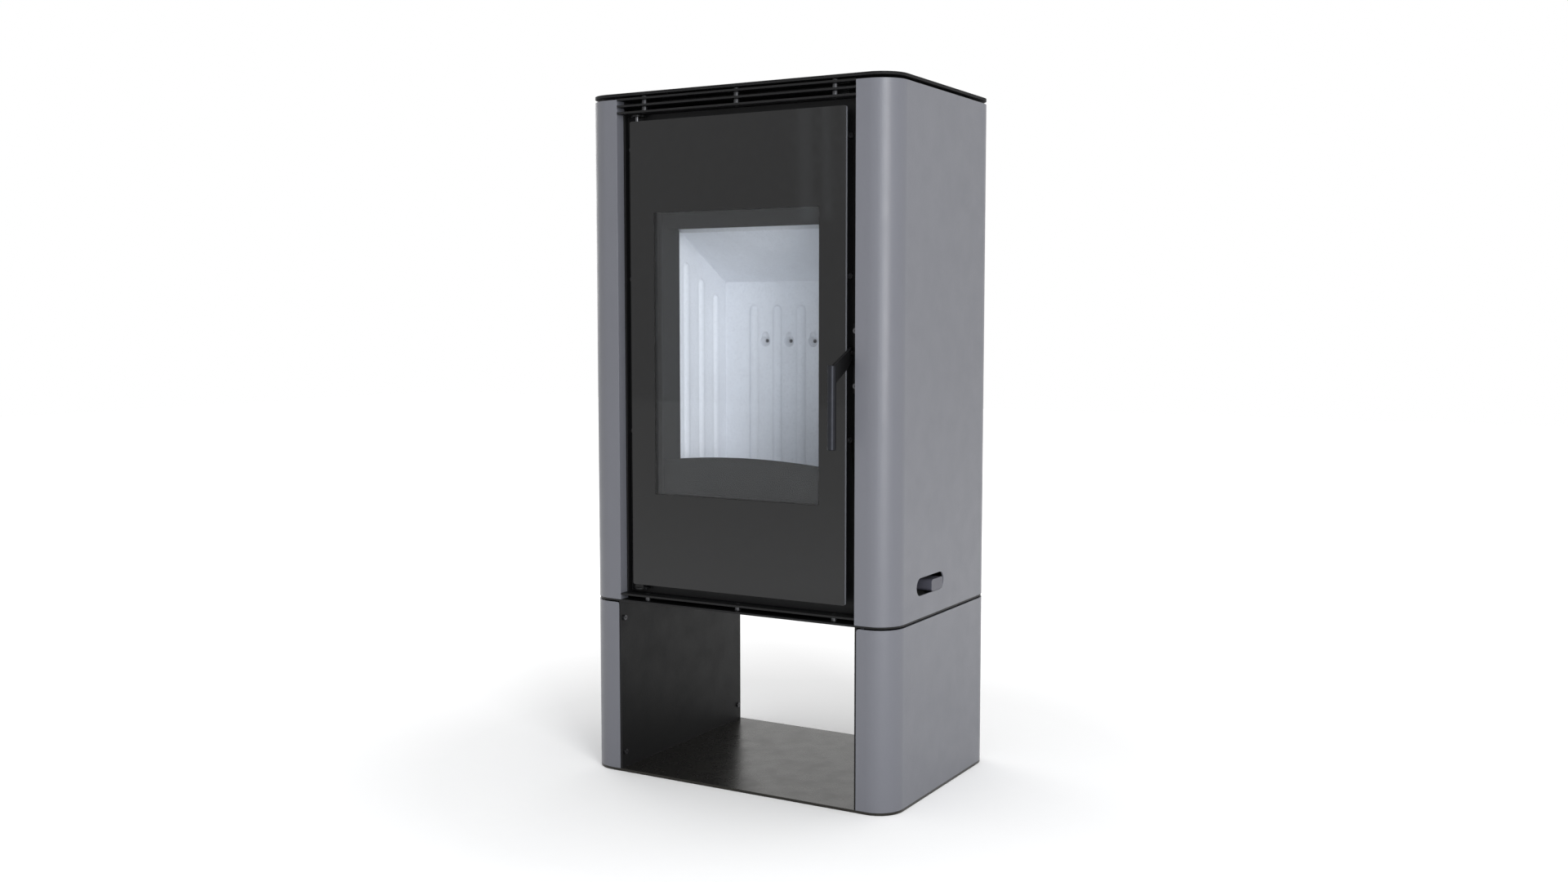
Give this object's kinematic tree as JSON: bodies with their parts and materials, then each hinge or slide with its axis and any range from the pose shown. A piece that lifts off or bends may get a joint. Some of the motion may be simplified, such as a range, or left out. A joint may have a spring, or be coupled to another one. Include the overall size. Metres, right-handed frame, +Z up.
{
  "type": "wood burning stove",
  "caption": "Upright wood burning stove on an open log store, with rounded grey casings, full height printed glass door, lever handle, top grille and side air slider.",
  "frame": {"origin": "centre of the base plate footprint on the floor", "axes": "+Z up, the door faces -Y, the handle and the air slider are on the +X side"},
  "size_m": [0.525, 0.3997, 1.04],
  "materials": {
    "casing_paint": "satin grey stove paint",
    "black_paint": "satin black stove paint",
    "fixings": "blackened steel",
    "bright_steel": "bright turned steel",
    "lining_board": "pressed light grey vermiculite board",
    "cast_iron": "matt black casting",
    "door_glass": "clear ceramic glass with a black printed border",
    "seal_rope": "graphite glass-fibre rope",
    "firebox_steel": "matt black firebox steel",
    "grip_steel": "dark satin steel",
    "knob_paint": "satin dark grey"
  },
  "bodies": {
    "stove": {"base_plate": "black_paint", "log_panel_left": "black_paint", "log_panel_right": "black_paint", "panel_screws": "fixings", "lower_casing_left": "casing_paint", "lower_casing_right": "casing_paint", "separator_plate": "black_paint", "louvre_slat": "black_paint", "louvre_studs": "fixings", "upper_casing_left": "casing_paint", "upper_casing_right": "casing_paint", "top_plate": "black_paint", "top_spacers": "black_paint", "top_carrier": "black_paint", "grille_slat_top": "black_paint", "grille_slat_middle": "black_paint", "grille_slat_bottom": "black_paint", "grille_studs": "fixings", "front_frame": "black_paint", "frame_screws": "fixings", "side_rail_left": "black_paint", "side_rail_right": "black_paint", "firebox_feet": "firebox_steel", "firebox_wall_left": "firebox_steel", "firebox_wall_right": "firebox_steel", "firebox_back": "firebox_steel", "firebox_top": "firebox_steel", "firebox_floor": "firebox_steel", "firebox_deck": "firebox_steel", "hearth_shelf": "firebox_steel", "throat_liner": "firebox_steel", "log_retainer": "firebox_steel", "duct_plate": "firebox_steel", "lining_left": "lining_board", "lining_right": "lining_board", "lining_back": "lining_board", "baffle": "lining_board", "hearth_slab": "lining_board", "grate": "cast_iron", "ash_pan": "firebox_steel", "air_inlet": "firebox_steel", "flue_collar": "cast_iron", "flue_bolts": "fixings", "rear_panel": "black_paint", "rear_screws": "fixings", "hinge_brackets": "black_paint", "catch_block": "black_paint", "shutter_rails": "firebox_steel"},
    "door": {"door_frame": "black_paint", "door_glass": "door_glass", "seal_rope": "seal_rope", "hinge_pins": "fixings", "handle_pin": "bright_steel"},
    "handle": {"handle_lever": "black_paint", "handle_grip": "grip_steel"},
    "air_control": {"air_knob": "knob_paint", "air_rod": "bright_steel", "air_shutter": "firebox_steel"}
  },
  "joints": [
    {"name": "door_hinge", "type": "hinge", "parent": "stove", "child": "door", "pos_m": [-0.176, -0.161, 0.65], "axis": [0, 0, -1], "range_deg": [0, 105]},
    {"name": "handle_lift", "type": "hinge", "parent": "door", "child": "handle", "pos_m": [0.187, -0.159, 0.655], "axis": [-1, 0, 0], "range_deg": [0, 35]},
    {"name": "air_slide", "type": "slide", "parent": "stove", "child": "air_control", "axis": [0, -1, 0], "range_m": [0, 0.044]}
  ]
}
